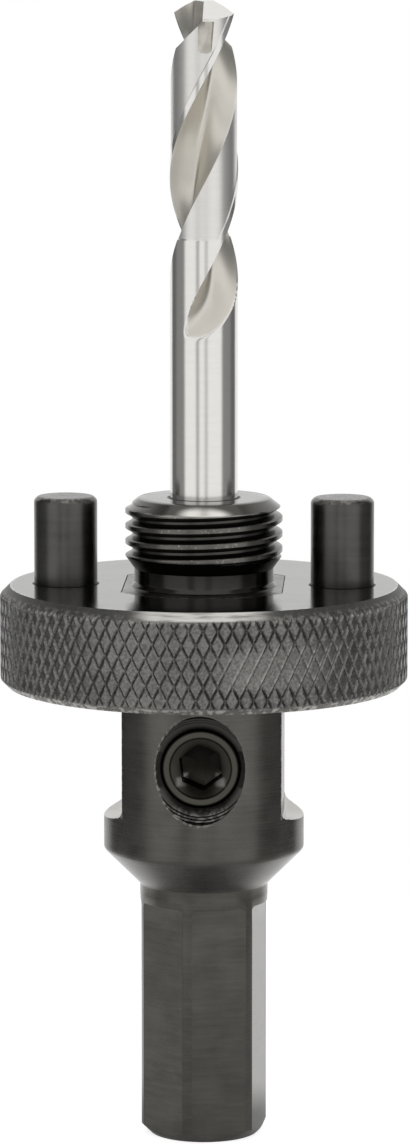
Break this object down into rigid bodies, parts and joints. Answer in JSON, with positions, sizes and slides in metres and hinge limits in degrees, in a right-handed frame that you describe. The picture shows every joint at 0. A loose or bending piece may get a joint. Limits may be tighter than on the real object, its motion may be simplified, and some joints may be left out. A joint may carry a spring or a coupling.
{
  "type": "hole saw arbor",
  "caption": "Hexagon-shank arbor for hole saws, with a threaded nose, a sliding knurled drive plate that carries drive pins, and a pilot drill held by a set screw.",
  "frame": {"origin": "middle of the shank's end face, on the arbor's axis", "axes": "+Z along the axis from the shank to the drill's point, -Y out of the set screw, X across the drive pins and the collar's flats"},
  "size_m": [0.041, 0.041, 0.1146],
  "materials": {
    "body_steel": "turned and milled, blackened, satin",
    "plate_steel": "knurled, blackened, worn bright on the top edge",
    "pin_steel": "ground, blackened",
    "drill_steel": "bright ground",
    "screw_steel": "blackened",
    "spring_steel": "bright"
  },
  "bodies": {
    "arbor": {"arbor_body": "body_steel"},
    "plate": {"drive_plate": "plate_steel", "drive_pin_left": "pin_steel", "drive_pin_right": "pin_steel", "detent_ball": "spring_steel", "detent_spring": "spring_steel", "detent_screw": "screw_steel"},
    "drill": {"pilot_drill": "drill_steel"},
    "screw": {"set_screw": "screw_steel"}
  },
  "joints": [
    {"name": "plate_slide", "type": "slide", "parent": "arbor", "child": "plate", "axis": [0, 0, -1], "range_m": [0, 0.0121]},
    {"name": "drill_slide", "type": "slide", "parent": "arbor", "child": "drill", "axis": [0, 0, 1], "range_m": [0, 0.036]},
    {"name": "set_screw_turn", "type": "hinge", "parent": "arbor", "child": "screw", "pos_m": [0, -0.006, 0.0389], "axis": [0, -1, 0], "range_deg": [0, 450]}
  ]
}
